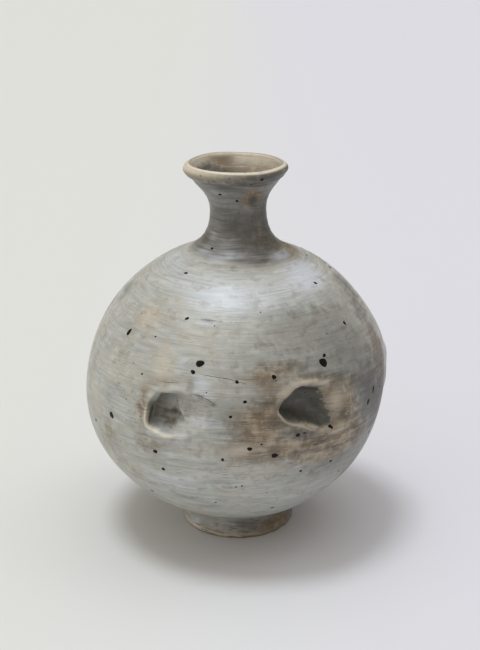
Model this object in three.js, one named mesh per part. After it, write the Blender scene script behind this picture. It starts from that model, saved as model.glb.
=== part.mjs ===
import * as THREE from "three";

// A hand-thrown stoneware bottle: a nearly round belly on a turned foot ring, a narrow waisted
// neck and a flared mouth with a rolled lip. Three thumb presses dent the belly just above its
// widest level. The pot is thrown in sections that are luted rim to rim: foot ring, lower bowl,
// upper bowl, neck and lip. Each section is its own closed solid, and neighbours meet on a
// level seam. Millimetres, +Z up. The origin is the middle of the foot, on the surface that it
// stands on. Azimuths are in degrees from the front (-Y), growing towards +X.

// Heights of the sections, stacked from the ground up
const FOOT_HEIGHT = 18; // up to where the belly begins
const FOOT_RECESS = 12; // depth of the hollow under the foot
const BOWL_RISE = 88; // from the belly's beginning to its widest level
const SHOULDER_RISE = 92; // from the widest level to the root of the neck
const NECK_LENGTH = 54; // from its root to the seam of the lip
const NECK_WAIST_RISE = 30; // from its root to its narrowest level
const LIP_HEIGHT = 8; // from the seam to the crest

// Outside radii
const FOOT_RADIUS = 39.8; // edge that it stands on
const FOOT_WAIST_RADIUS = 38.6;
const BELLY_ROOT_RADIUS = 41.6; // where the belly springs from the foot
const BELLY_RADIUS = 104;
const NECK_ROOT_RADIUS = 41.4;
const NECK_WAIST_RADIUS = 19.3;
const LIP_RADIUS = 35; // outermost edge of the mouth

// Clay
const FOOT_WALL = 8.6;
const FOOT_EDGE = 1.2; // worn round of the edge that it stands on
const FLOOR = 10; // thickness over the hollow of the foot
const BELLY_WALL = 6;
const NECK_WALL = 4.6;
const LIP_ROUND = 3.4; // half the thickness of the rolled lip

// Hand-made unevenness: the belly sags towards -X, and the mouth leans the same way
const BELLY_SAG = 3.4;
const MOUTH_LEAN = 1.2;

// Thumb presses. A thumb went in deep and swept out to +azimuth, so each has a pit with a steep
// blunt end and a long shallow scoop. Reaches are measured along the wall from the middle of the
// pit and rise from the widest level. Point and tail are 2 where the blunt end and the end of
// the sweep are round, and less where they are pointed.
const PRESSES = [
  {
    azimuth: -27.5, rise: 17, blunt: 11, back: 12, above: 14, below: 14,
    pit: 7, scoop: 7, sweep: 38, point: 2, tail: 1.5, ridge: 1.6,
  },
  {
    azimuth: 24.5, rise: 19.5, blunt: 18.5, back: 17, above: 14.5, below: 14.5,
    pit: 7, scoop: 7, sweep: 38, point: 1.4, tail: 2, ridge: 1.6,
  },
  {
    azimuth: 96, rise: 18, blunt: 18, back: 15, above: 15, below: 15,
    pit: 6, scoop: 6, sweep: 36, point: 1.5, tail: 2, ridge: 2.4,
  },
];
const PIT_FLOOR = 0.5; // share of a pit's reach before its wall starts to climb
const RIDGE_WIDTH = 4; // of the clay pushed up around a press
const PRESS_REACH = 1.6; // a press and its ridge die out at this share of its reaches

// Facets
const PIT_STEP = 2; // degrees between columns across a pit
const SWEEP_STEP = 4.5; // degrees between columns along its sweep
const PLAIN_STEP = 9; // degrees between columns elsewhere on the belly
const PRESS_ROW_STEP = 1.8; // degrees between rows across a press
const PLAIN_ROW_STEP = 5.5; // degrees between rows elsewhere on the belly
const TURNED_COLUMNS = 40; // columns on the foot, neck and lip
const SAME = 0.01; // lengths that differ by less count as equal

const widest = FOOT_HEIGHT + BOWL_RISE;
const neckRoot = widest + SHOULDER_RISE;
const neckWaist = neckRoot + NECK_WAIST_RISE;
const lipSeam = neckRoot + NECK_LENGTH;
const crest = lipSeam + LIP_HEIGHT;

const radians = THREE.MathUtils.degToRad;
const degrees = THREE.MathUtils.radToDeg;
const { lerp, smoothstep, clamp, euclideanModulo } = THREE.MathUtils;
const point = (radius, height) => new THREE.Vector2(radius, height);

// Evenly spaced values from start to end, no further apart than step.
function spaced(start, end, step) {
  const count = Math.max(1, Math.ceil(Math.abs(end - start) / step - 1e-6));
  return Array.from({ length: count + 1 }, (_, i) => start + ((end - start) * i) / count);
}

// A quarter of an ellipse on the widest level. It starts there at radius, at angle 0, and
// passes through endRadius at that distance above (side 1) or below (side -1) the level.
function quarterEllipse(radius, endRadius, distance, side) {
  const half = distance / Math.sqrt(1 - (endRadius / radius) ** 2);
  const end = degrees(Math.asin(distance / half));
  const at = (angle) =>
    point(radius * Math.cos(radians(angle)), widest + side * half * Math.sin(radians(angle)));
  return { half, end, at };
}

const bowl = quarterEllipse(BELLY_RADIUS, BELLY_ROOT_RADIUS, BOWL_RISE, -1);
const shoulder = quarterEllipse(BELLY_RADIUS, NECK_ROOT_RADIUS, SHOULDER_RISE, 1);

// The inside of the shoulder keeps the wall's thickness, and ends where the throat begins.
const insideRadius = BELLY_RADIUS - BELLY_WALL;
const insideHalf = shoulder.half - BELLY_WALL;
const throatRise = insideHalf * Math.sqrt(1 - (NECK_ROOT_RADIUS / insideRadius) ** 2);
const insideShoulder = quarterEllipse(insideRadius, NECK_ROOT_RADIUS, throatRise, 1);

// The concave neck: from the end of a shoulder in to the waist, then out to the lip.
function neckOutline(curve, waist, mouth) {
  const root = curve.at(curve.end);
  const along = curve.at(curve.end).sub(curve.at(curve.end - 1)).normalize();
  const lowerRise = waist.y - root.y;
  const upperRise = mouth.y - waist.y;
  const inward = new THREE.CubicBezierCurve(
    root,
    root.clone().addScaledVector(along, 0.45 * lowerRise),
    point(waist.x, waist.y - 0.65 * lowerRise),
    waist,
  );
  const outward = new THREE.CubicBezierCurve(
    waist,
    point(waist.x, waist.y + 0.48 * upperRise),
    point(mouth.x - 0.25 * upperRise, mouth.y - 0.28 * upperRise),
    mouth,
  );
  return [...inward.getPoints(9), ...outward.getPoints(7).slice(1)];
}

const rollCentre = point(LIP_RADIUS - LIP_ROUND, crest - LIP_ROUND);
const outsideNeck = neckOutline(
  shoulder,
  point(NECK_WAIST_RADIUS, neckWaist),
  point(rollCentre.x + 0.45 * LIP_ROUND, lipSeam),
);
const insideNeck = neckOutline(
  insideShoulder,
  point(NECK_WAIST_RADIUS - NECK_WALL, neckWaist),
  point(rollCentre.x - 1.2 * LIP_ROUND, lipSeam),
);

// The radius of an outline, given as points that only climb, at a height.
function radiusAt(outline, height) {
  const i = Math.max(1, outline.findIndex((p) => p.y >= height));
  const [low, high] = [outline[i - 1], outline[i]];
  return lerp(low.x, high.x, (height - low.y) / (high.y - low.y));
}

// How far a place is from the middle of an oval with another reach on each side, as a share of
// those reaches, so it is 1 on the outline. An end is pointed when its power is under 2.
function ovalReach(along, up, [left, right, below, above], [leftPower, rightPower]) {
  const u = Math.abs(along) / (along < 0 ? left : right);
  const v = Math.abs(up) / (up < 0 ? below : above);
  const power = along < 0 ? leftPower : rightPower;
  return (u ** power + v ** power) ** (1 / power);
}

// How deep a press pushes the wall in at an azimuth and height: a pit with a flat floor and a
// wall, and a scoop that is deepest there and runs out along its sweep. A low ridge lies just
// outside the pit's blunt side. Inside the pot the press is broader, by spread.
function pressDepth(press, azimuth, height, spread) {
  const turn = euclideanModulo(azimuth - press.azimuth + 180, 360) - 180;
  const along = radians(turn) * BELLY_RADIUS;
  const up = height - widest - press.rise;
  const reaches = (far) => [press.blunt, far, press.below, press.above].map((r) => r + spread);
  const inPit = ovalReach(along, up, reaches(press.back), [press.point, 2]);
  const inScoop = ovalReach(along, up, reaches(press.sweep), [press.point, press.tail]);
  const pit = press.pit * (1 - smoothstep(inPit, PIT_FLOOR, 1));
  const scoop = press.scoop * (1 - smoothstep(inScoop, 0, 1));
  const ridgeReach = RIDGE_WIDTH / press.above;
  const ridge = press.ridge * Math.exp(-(((inScoop - 1) / ridgeReach - 0.5) ** 2));
  const bluntness = 1 - 0.8 * smoothstep(along, -press.blunt, press.sweep);
  return pit + scoop - ridge * bluntness * (1 - smoothstep(inScoop, 1, PRESS_REACH));
}

// How far the pot's axis wanders along X at a height: nothing at the foot, most a third of the
// way up the belly, nothing again at the root of the neck, and a slight lean at the mouth.
function axisShift(height) {
  const belly = clamp((height - FOOT_RECESS) / (neckRoot - FOOT_RECESS), 0, 1);
  const neck = smoothstep(height, neckWaist, crest);
  return -BELLY_SAG * Math.sin(Math.PI * belly ** 0.55) ** 3 - MOUTH_LEAN * neck;
}

// Column azimuths round the belly: closest across the pits of the presses, wider apart along
// their sweeps, and widest elsewhere. Each span has a start, an end and a step.
function bellyColumns() {
  const turn = (along) => degrees(along / BELLY_RADIUS);
  const spans = PRESSES.flatMap(({ azimuth, blunt, back, sweep }) => [
    [azimuth - turn(blunt + RIDGE_WIDTH), azimuth + turn(back), PIT_STEP],
    [azimuth + turn(back), azimuth + turn(sweep), SWEEP_STEP],
  ]);
  const first = spans[0][0];
  const columns = [];
  let reached = first;
  for (const [start, end, step] of [...spans, [first + 360, first + 360, PLAIN_STEP]]) {
    if (start > reached) columns.push(...spaced(reached, start, PLAIN_STEP).slice(0, -1));
    const from = Math.max(start, reached);
    if (end > from) columns.push(...spaced(from, end, step).slice(0, -1));
    reached = Math.max(end, reached);
  }
  return columns;
}

// Revolves a section into a closed solid. The section's points of radius and height go round
// the clay with the clay on their left. A section that starts on the axis ends on it too. Each
// point says whether it lies inside the pot, where the presses are broader. Each four-sided
// patch is split along its shorter diagonal, which follows the edges of the presses.
function throwClay(section, columns) {
  const points = section.flatMap(({ x, y, inside }) =>
    columns.map((azimuth) => {
      const spread = inside ? BELLY_WALL : 0;
      const depths = PRESSES.map((press) => pressDepth(press, azimuth, y, spread));
      const radius = x > 0 ? x - depths.reduce((sum, depth) => sum + depth, 0) : 0;
      const angle = radians(azimuth);
      const across = axisShift(y) + radius * Math.sin(angle);
      return new THREE.Vector3(across, -radius * Math.cos(angle), y);
    }),
  );
  const around = columns.length;
  const rows = section[0].x > 0 ? section.length : section.length - 1;
  const index = [];
  for (let row = 0; row < rows; row++) {
    const next = (row + 1) % section.length;
    for (let column = 0; column < around; column++) {
      const beside = (column + 1) % around;
      const [a, b] = [row * around + column, row * around + beside];
      const [c, d] = [next * around + beside, next * around + column];
      if (section[row].x === 0) index.push(b, c, d);
      else if (section[next].x === 0) index.push(a, b, d);
      else if (points[b].distanceTo(points[d]) <= points[a].distanceTo(points[c]) + SAME) {
        index.push(a, b, d, b, c, d);
      } else index.push(a, b, c, a, c, d);
    }
  }
  const geometry = new THREE.BufferGeometry().setFromPoints(points);
  geometry.setIndex(index);
  geometry.computeVertexNormals();
  return geometry;
}

// The part of an outline between two heights, with level ends.
function between(outline, low, high) {
  const middle = outline.filter((p) => p.y > low + 0.5 && p.y < high - 0.5);
  return [point(radiusAt(outline, low), low), ...middle, point(radiusAt(outline, high), high)];
}

// Marks an outline as the inside of the pot and turns it round, so that it runs down again.
function downInside(outline) {
  return outline.map((p) => Object.assign(p.clone(), { inside: true })).reverse();
}

// Foot ring: flared outside, upright inside, with a worn edge underneath.
function footRing() {
  const inner = FOOT_WAIST_RADIUS - FOOT_WALL;
  const flare = new THREE.QuadraticBezierCurve(
    point(FOOT_RADIUS, FOOT_EDGE),
    point(FOOT_WAIST_RADIUS, FOOT_RECESS / 2),
    point(FOOT_WAIST_RADIUS, FOOT_RECESS),
  );
  return [
    point(inner, FOOT_RECESS),
    point(inner, FOOT_EDGE),
    point(inner + FOOT_EDGE, 0),
    point(FOOT_RADIUS - FOOT_EDGE, 0),
    ...flare.getPoints(4),
  ];
}

// Lower bowl: a pad on the foot ring, the round wall up to the widest level, and the inside.
function lowerBowl() {
  const floorLevel = FOOT_RECESS + FLOOR;
  const outside = spaced(bowl.end, 0, PLAIN_ROW_STEP).map(bowl.at);
  const inside = spaced(6, 90, 2 * PLAIN_ROW_STEP).map((angle) =>
    point(
      insideRadius * Math.sin(radians(angle)),
      widest - (widest - floorLevel) * Math.cos(radians(angle)),
    ),
  );
  return [
    point(0, FOOT_RECESS),
    point(FOOT_WAIST_RADIUS, FOOT_RECESS),
    point(FOOT_WAIST_RADIUS, FOOT_HEIGHT - 0.4 * (FOOT_HEIGHT - FOOT_RECESS)),
    ...outside,
    ...downInside(inside),
    point(0, floorLevel),
  ];
}

// Angles up a shoulder: close together across the presses, then wider.
function shoulderAngles(curve, rowStep) {
  const top = Math.max(...PRESSES.map(({ rise, above }) => rise + above)) + RIDGE_WIDTH;
  const pressed = degrees(Math.asin(Math.min(top / curve.half, 0.9)));
  return [...spaced(0, pressed, rowStep), ...spaced(pressed, curve.end, PLAIN_ROW_STEP).slice(1)];
}

// Upper bowl: the pressed shoulder, from the widest level to the root of the neck.
function upperBowl() {
  const outside = shoulderAngles(shoulder, PRESS_ROW_STEP).map(shoulder.at);
  const inside = shoulderAngles(insideShoulder, 1.5 * PRESS_ROW_STEP).map(insideShoulder.at);
  const throat = between(insideNeck, insideNeck[0].y, neckRoot).slice(1);
  return [...outside, ...downInside([...inside, ...throat])];
}

// Neck: the waisted tube between the shoulder and the lip.
function neck() {
  return [
    ...between(outsideNeck, neckRoot, lipSeam),
    ...downInside(between(insideNeck, neckRoot, lipSeam)),
  ];
}

// Lip: a coil rolled over the top of the neck.
function lip() {
  const roll = spaced(-45, 190, 24).map((angle) =>
    point(LIP_ROUND * Math.cos(radians(angle)), LIP_ROUND * Math.sin(radians(angle))),
  );
  return [outsideNeck.at(-1), ...roll.map((p) => p.add(rollCentre)), insideNeck.at(-1)];
}

// Fired clay under a thin brushed slip and a semi-matt glaze
const slip = { color: 0xa9aaa3, roughness: 0.42, metalness: 0 };
const thinSlip = { color: 0x84827b, roughness: 0.4, metalness: 0 };
const ashGlaze = { color: 0xb3a48c, roughness: 0.45, metalness: 0 };
const bareClay = { color: 0x7b6f60, roughness: 0.7, metalness: 0 };

const bottle = new THREE.Group();
const aroundBelly = bellyColumns();
const aroundTurned = Array.from({ length: TURNED_COLUMNS }, (_, i) => (360 * i) / TURNED_COLUMNS);

function addSection(name, section, columns, finish) {
  const mesh = new THREE.Mesh(
    throwClay(section, columns),
    new THREE.MeshStandardMaterial(finish),
  );
  mesh.name = name;
  bottle.add(mesh);
}

addSection("foot_ring", footRing(), aroundTurned, bareClay);
addSection("lower_bowl", lowerBowl(), aroundBelly, slip);
addSection("upper_bowl", upperBowl(), aroundBelly, slip);
addSection("neck", neck(), aroundTurned, thinSlip);
addSection("mouth_lip", lip(), aroundTurned, ashGlaze);

export default bottle;
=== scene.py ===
"""A hand-thrown stoneware bottle, brushed with pale slip and dented by a thumb.

The whole skin of the pot is one surface of two values: the station, which is the way along the
wall's section in millimetres, from the middle of the hollow under the foot, up the outside, over
the lip and down to the middle of the inside floor, and the azimuth in radians, which is 0 at the
front (-Y) and grows towards +X. Each thrown section is a stretch of that surface. Lengths are in
millimetres until a mesh is made, and in metres from then on.
"""

import math

import bpy
import numpy as np
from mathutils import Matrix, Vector


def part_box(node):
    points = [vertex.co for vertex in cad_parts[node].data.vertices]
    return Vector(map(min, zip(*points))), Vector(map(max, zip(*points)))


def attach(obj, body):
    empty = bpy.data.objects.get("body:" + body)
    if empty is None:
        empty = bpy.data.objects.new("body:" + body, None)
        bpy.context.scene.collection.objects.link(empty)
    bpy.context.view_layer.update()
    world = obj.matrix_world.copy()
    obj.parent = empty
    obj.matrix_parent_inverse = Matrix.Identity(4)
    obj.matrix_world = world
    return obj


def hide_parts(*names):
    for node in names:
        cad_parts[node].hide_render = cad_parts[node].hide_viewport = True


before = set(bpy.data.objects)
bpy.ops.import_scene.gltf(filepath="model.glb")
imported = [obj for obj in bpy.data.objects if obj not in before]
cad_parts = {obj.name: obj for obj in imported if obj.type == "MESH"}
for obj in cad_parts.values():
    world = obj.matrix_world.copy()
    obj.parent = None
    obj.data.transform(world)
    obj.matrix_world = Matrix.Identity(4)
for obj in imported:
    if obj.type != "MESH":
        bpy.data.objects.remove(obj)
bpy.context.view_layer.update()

bl_info = {
    "name": "Thumb-pressed slipware bottle",
    "version": (1, 0, 0),
    "blender": (4, 5, 0),
    "location": "3D View > Sidebar > Bottle",
    "description": "Builds a thrown stoneware bottle with its slip, glaze and iron spots",
    "category": "Object",
}

BODY = "root"
MM = 0.001
FLOW_UNIT = 100.0


def level(node, end):
    """The lowest (end 0) or highest (end 1) level of a solid, in millimetres."""
    return round(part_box(node)[end].z / MM, 2)


# Levels of the thrown sections, from the solids
FOOT_RECESS = level("lower_bowl", 0)
WIDEST = level("upper_bowl", 0)
NECK_ROOT = level("neck", 0)
LIP_SEAM = level("mouth_lip", 0)
CREST = 260.0
FOOT_HEIGHT = 18.0
PAD_HEIGHT = 15.6
NECK_WAIST = NECK_ROOT + 30.0
FLOOR_LEVEL = FOOT_RECESS + 10.0
# Painted shade deep in the mouth starts at this level.
THROAT_SHADE_LEVEL = CREST - 9.4  # the inside of the mouth is dark below this

# Radii and walls
FOOT_RADIUS = 39.8
FOOT_WAIST_RADIUS = 38.6
FOOT_WALL = 8.6
FOOT_EDGE = 1.2
BELLY_ROOT_RADIUS = 41.6
BELLY_RADIUS = 104.0
BELLY_WALL = 6.0
NECK_ROOT_RADIUS = 41.4
NECK_WAIST_RADIUS = 19.3
NECK_WALL = 4.6
LIP_RADIUS = 35.0
LIP_ROUND = 3.4
SKIN = 0.42  # the fine surface keeps this far inside the widest facets of the solids

# Hand-made unevenness
BELLY_SAG = 3.4
MOUTH_LEAN = 1.2
LUMP_LENGTH = 60.0
LUMP_HEIGHT = 0.28
RING_PITCH = 5.5
RING_HEIGHT = 0.1
BEAD_WIDTH = 2.6
BEAD_HEIGHT = 0.9
RIM_RISE = 0.9  # at the left front of the mouth
RIM_RISE_AZIMUTH = -0.75
RIM_RISE_WIDTH = 0.5
CHIP_DEPTH = 0.5
CHIP_REACH = 7.0

# Thumb presses: azimuth of the middle of the pit in degrees and its rise above the widest level,
# corners of the outlines of the pit and of the scoop that the thumb left, along the wall and up
# from that middle, depths of both, how steep they are at their right, upper, left and lower
# sides, the clay pushed up, how far the blunt edge overhangs, and how creamy its rim (cream that
# is partly painted highlight), how toasted its slope and how dark its floor are
PRESSES = (
    dict(azimuth=-27.5, rise=15.5, pit=8.5, scoop=6.5, ridge=1.4, overhang=9.0,
         cream=1.0, toast=0.0, dark=0.28, pit_steep=(3.5, 2.0, 9, 2.8), scoop_steep=(2, 3, 9, 4),
         pit_corners=((-9, 1), (-9, -11), (-4, -15), (4, -16), (11, -11), (19, -6), (9, 0),
                      (8, 6), (3, 11), (-4, 8)),
         scoop_corners=((-10, 4), (-10, -11), (-4, -15), (6, -17), (18, -15), (29, -10), (37, -1),
                        (38, 5), (26, 12), (12, 13), (-5, 10))),
    dict(azimuth=25.0, rise=19.5, pit=8.0, scoop=5.5, ridge=2.0, overhang=1.4,
         cream=0.5, toast=0.7, dark=0.8, pit_steep=(2.4, 5, 7, 6), scoop_steep=(2, 4, 7, 4),
         pit_corners=((-18, 0), (-14, 5), (-7, 9), (0, 11), (16, 7), (18, 1), (21, -8),
                      (24, -20), (14, -18), (3, -13), (-4, -11), (-14, -8), (-18, -4)),
         scoop_corners=((-19, -1), (-8, 10), (3, 13), (25, 9), (34, -2), (37, -14), (33, -23),
                        (20, -22), (-3, -13), (-14, -9))),
    dict(azimuth=96.0, rise=7.0, pit=4.0, scoop=4.5, ridge=1.2, overhang=0.6,
         cream=0.3, toast=0.3, dark=0.5, pit_steep=(3, 5, 6, 4), scoop_steep=(2, 4, 5, 3),
         pit_corners=((-18, 0), (-10, 9), (4, 13), (16, 6), (17, -8), (4, -14), (-12, -9)),
         scoop_corners=((-20, 0), (-10, 12), (8, 15), (26, 9), (36, -6), (30, -18), (4, -20),
                        (-13, -13))),
)
RIDGE_WIDTH = 3.0
DEGREES = range(-180, 180)

# The swelling above the third press: where its middle is, how far it reaches along the wall and
# above and below its middle, and how proud it stands
SWELLING = dict(azimuth=98.0, rise=24.0, along=34.0, above=26.0, below=9.0, height=2.4)

# The photograph's frame, and the camera that took it
PHOTO_WIDTH = 480
PHOTO_HEIGHT = 650
FOCAL_PIXELS = 1279.0
CAMERA_PLACE = (1.4, -830.0, 448.0)
CAMERA_PITCH = math.radians(20.05)
SENSOR_WIDTH = 36.0

# Iron spots seen in the photograph: x and y in its pixels, length and width in millimetres, and
# the angle of the long side in degrees from level
SPOTS_SEEN = (
    (262, 180, 2.0, 1.7, 0), (220, 194.5, 2.0, 1.6, 0), (237, 201, 1.7, 1.5, 0),
    (251, 184.5, 1.6, 0.9, 0), (212, 248.5, 1.8, 1.6, 0), (186, 273, 2.4, 1.8, 10),
    (315.5, 283, 2.4, 1.8, -20), (307, 255, 1.5, 1.2, 0), (187, 318.5, 2.8, 1.4, 35),
    (129, 332, 4.4, 2.6, 60), (155.5, 336.5, 1.2, 1.0, 0), (344.5, 323, 2.8, 1.8, -50),
    (200, 363.5, 4.4, 3.8, 0), (193, 372, 2.6, 2.2, -60), (323.3, 362.5, 6.0, 4.0, -60),
    (324.3, 355.4, 2.2, 2.0, 0), (274, 377, 2.6, 2.4, 0), (237, 382, 2.0, 1.8, 0),
    (142, 374, 1.3, 1.2, 0), (245, 402, 2.0, 1.8, 0), (230.5, 417, 1.7, 1.6, 0),
    (373.4, 389.5, 4.2, 2.4, 80), (368.3, 401.7, 3.6, 2.6, 70), (380, 386, 2.0, 1.6, 0),
    (111.6, 415, 4.4, 2.8, -50), (96, 420, 2.2, 1.6, 80), (330.4, 426.5, 2.8, 2.0, -20),
    (298, 435, 2.4, 2.2, 0), (304.5, 433, 1.4, 1.3, 0), (369, 431.6, 2.4, 1.6, 60),
    (249.7, 449, 2.6, 2.4, 0), (261.5, 444.4, 1.2, 1.1, 0), (274.6, 455.6, 3.8, 2.8, 15),
    (155.3, 451.4, 2.6, 2.4, 0), (222.6, 459.7, 1.8, 1.7, 0), (163.3, 469, 2.2, 2.0, 0),
    (300.7, 471, 2.0, 1.4, 0), (330.7, 461, 1.9, 1.8, 0), (152.4, 490.6, 2.4, 1.5, -30),
    (272.3, 507.5, 2.4, 1.6, 10), (242, 486, 1.3, 1.0, 0), (236, 487, 1.2, 1.0, 0),
    (215.6, 502.4, 1.4, 1.2, 0), (338.6, 471, 1.6, 1.3, 0),
)
BACK_SPOTS = 58
BACK_SPOTS_SEED = 7
SPOT_OUTLINES_SEED = 17
CRACK_AND_SHADOW_LINE_WIDTHS_SEED = 9

# Patches of colour seen in the photograph: x and y of the middle in its pixels, half-width and
# half-height on the clay in millimetres, and strength
TAN_SEEN = (
    (142, 406, 6, 14, 0.7), (262, 420, 18, 10, 0.8), (350, 408, 9, 17, 0.6),
    (262, 435, 14, 8, 0.8), (290, 449, 30, 8, 0.8), (112, 452, 8, 18, 0.4),
    (253, 197, 8, 8, 0.9), (289, 249, 15, 7, 0.9), (222, 266, 14, 2.5, 0.4),
    (165, 440, 16, 5, 0.4), (264, 378, 16, 7, 0.5), (232, 447, 14, 5, 0.4),
    (342, 442, 16, 9, 0.9), (304, 378.5, 8, 3, 0.6), (167, 381, 8, 2.5, 0.5),
    (318, 380, 8, 3, 0.7), (332, 381.5, 8, 3, 0.6), (343, 384, 8, 4, 0.6),
    (171, 420, 5, 3, 0.8), (96, 360, 5, 24, 0.3), (380, 352, 8, 24, 0.6),
    (279, 522, 16, 8, 1.0), (264, 236, 6, 9, 0.7), (318, 440, 20, 8, 0.8),
    (126, 345, 6, 14, 0.3), (303, 391, 15, 4, 0.4), (338, 400, 9, 8, 0.5),
    (133, 470, 10, 10, 0.4), (380, 385, 14, 30, 0.75), (110, 430, 7, 10, 0.5),
    (205, 532, 10, 3, 0.5), (208, 222, 2.5, 14, 0.5), (360, 425, 8, 14, 0.5),
    (361, 300, 10, 14, 0.35), (376, 325, 10, 14, 0.35), (98, 335, 4, 16, 0.5),
    (110, 305, 4, 12, 0.5), (275, 411, 7, 8, 0.6), (290, 423, 8, 2.5, 1.0),
    (306, 426.5, 8, 2.4, 1.0), (322, 431, 9, 2.5, 1.0), (335, 433, 8, 3, 0.8),
    (150, 317, 20, 14, 0.42), (162, 367, 11, 18, 0.25), (248, 459, 16, 4, 0.35),
    (282, 369, 16, 8, 0.4), (272, 395, 8, 8, 0.3),
    (313, 459, 16, 4, 0.7), (349, 415, 8, 14, 0.6), (265, 216, 9, 20, 0.6),
    (150, 446, 10, 8, 0.4),
)
# Dark patches: pooled glaze, and painted shade on the walls of the left press's pit, along the
# upper edge of its scoop, on the right of the neck, along the right edge of the belly and low down
# by the foot.
DARK_AND_SHADE_SEEN = (
    (306, 313, 28, 4.5, 0.35), (262, 248, 16, 8, 0.5), (262, 262, 10, 3, 0.5),
    (274, 422, 10, 5, 0.35), (292, 454, 6, 4, 0.3), (202, 327, 8, 2.5, 0.3),
    (320, 373, 16, 3, 0.35),
    (288, 306, 26, 5, 0.15), (266, 214, 9, 22, 0.8), (211, 220, 5, 16, 0.35),
    (230, 216, 8, 12, 0.3), (341, 279, 16, 10, 0.5), (351, 291, 16, 12, 0.4),
    (360, 310, 14, 10, 0.45), (290, 409, 5, 5, 0.9), (290, 434, 9, 4, 0.4),
    (306, 435, 10, 3, 0.4), (321, 437, 8, 2.5, 0.5), (382, 388, 16, 12, 0.6),
    (276, 397, 10, 9, 0.25), (280, 357, 12, 8, 0.3), (299, 453, 8, 6, 0.4),
    (354, 430, 10, 10, 0.35), (190, 384, 3, 7, 0.4), (220, 434, 12, 3, 0.35),
    (124, 294, 12, 12, 0.3),
    (196, 394.5, 3, 1.2, 0.5), (202, 397, 4, 1.5, 0.35), (208, 401, 4, 1.6, 0.45),
    (213, 405, 3, 1.4, 0.55), (264, 212, 6, 20, 0.6), (251, 225, 10, 12, 0.6),
    (253, 200, 3, 5, 1.0), (243, 521, 14, 4, 0.2), (190, 497, 22, 2.5, 0.4),
    (260, 512, 12, 3, 0.3), (342, 414, 4, 4, 0.7), (262, 181, 16, 2.5, 0.7),
    (245, 536, 3.5, 1.2, 1.0), (213, 531, 9, 1.0, 0.9), (272, 403, 10, 2.5, 0.5),
    (150.5, 413, 1.8, 8, 0.9), (170, 411, 4, 2, 0.6), (175, 408, 1.4, 3, 0.5),
    (165, 417, 3, 1.4, 0.5), (179, 412.5, 4, 1.5, 0.6), (186, 416, 4, 1.5, 0.5),
    (312, 375.5, 10, 1.8, 0.4), (328, 377, 10, 1.8, 0.4), (362, 390, 13, 18, 0.5),
    (372, 388, 12, 20, 0.7), (210, 507, 16, 2.5, 0.3), (382, 376, 14, 30, 0.6),
    (374, 415, 9, 16, 0.6), (335, 446, 18, 5, 0.4), (308, 363, 20, 7, 0.25),
    (312, 434, 12, 5, 0.5), (282, 410, 8, 9, 0.55), (362, 470, 12, 14, 0.6),
    (340, 330, 16, 2.5, 0.3), (232, 228, 8, 9, 0.4), (342, 380, 14, 6, 0.5),
    (207, 320.5, 9, 1.2, 0.6), (236, 528, 22, 3.5, 0.35), (346, 474, 14, 8, 0.4),
    (290, 372, 16, 5, 0.2), (130, 285, 9, 8, 0.3),
)
# Pale patches: mostly painted highlights, sheen and glints on the shoulder, the root of the neck,
# the rims of the presses and the lit floors of their pits, and some pale glaze.
PALE_AND_HIGHLIGHTS_SEEN = (
    (224, 299, 36, 14, 0.75), (202, 422, 14, 4.5, 0.65), (160, 425, 1.5, 3, 1.0),
    (207, 323, 9, 1.6, 0.8), (324, 384, 9, 1.6, 0.45), (201, 384, 6, 6, 0.6),
    (216, 260, 10, 4, 0.5), (236, 256, 12.5, 3.5, 0.6), (282, 255, 13, 5, 1.0),
    (298, 265, 8, 4, 0.6), (182, 365, 6, 8, 0.5), (166, 437, 20, 4, 0.4),
    (165, 425, 8, 3, 0.5), (285, 298, 46, 26, 0.24),
    (160, 325, 5, 8, 0.3), (180, 445, 14, 5, 0.3), (312, 281, 16, 8, 0.7),
    (304, 272, 14, 9, 0.85), (229, 238, 6, 6, 0.3), (213, 190, 10, 7, 0.5),
    (228, 249, 12, 5, 0.3), (204, 250, 8, 6, 0.5), (196, 521, 5, 5, 0.8),
    (213, 236, 4, 6, 0.4), (207, 390, 9, 7, 0.4), (190, 464, 28, 12, 0.35),
    (180, 275, 30, 12, 0.4), (150, 433, 8, 5, 0.4), (170, 481, 26, 10, 0.5),
    (176, 257, 18, 10, 0.5), (306, 284, 26, 12, 0.2), (306, 268, 14, 6, 0.4),
)
# Veil patches: thin dark glaze, and also painted shade on the right of the belly.
VEIL_AND_SHADE_SEEN = (
    (342, 360, 34, 38, 0.75), (300, 325, 40, 14, 0.45), (262, 412, 30, 20, 0.5),
    (370, 400, 16, 50, 0.9), (240, 418, 18, 7, 0.7), (335, 460, 40, 18, 0.75),
    (262, 365, 30, 14, 0.4), (186, 402, 16, 9, 0.4), (250, 215, 9, 30, 0.5),
    (235, 268, 30, 4, 0.4), (90, 380, 6, 40, 0.3), (380, 350, 10, 30, 0.9),
    (358, 472, 14, 12, 0.6), (285, 298, 46, 26, 0.22),
)
WORN_SEEN = (
    (235, 480, 36, 13, 0.6), (115, 400, 12, 36, 0.5), (262, 425, 20, 14, 0.9),
    (142, 412, 9, 16, 1.0), (305, 448, 40, 10, 0.9), (165, 460, 26, 12, 0.4),
    (210, 505, 30, 8, 0.7), (340, 430, 20, 20, 0.8), (255, 200, 12, 16, 0.6),
    (345, 330, 24, 24, 0.4), (200, 405, 18, 10, 0.5),
)
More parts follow.
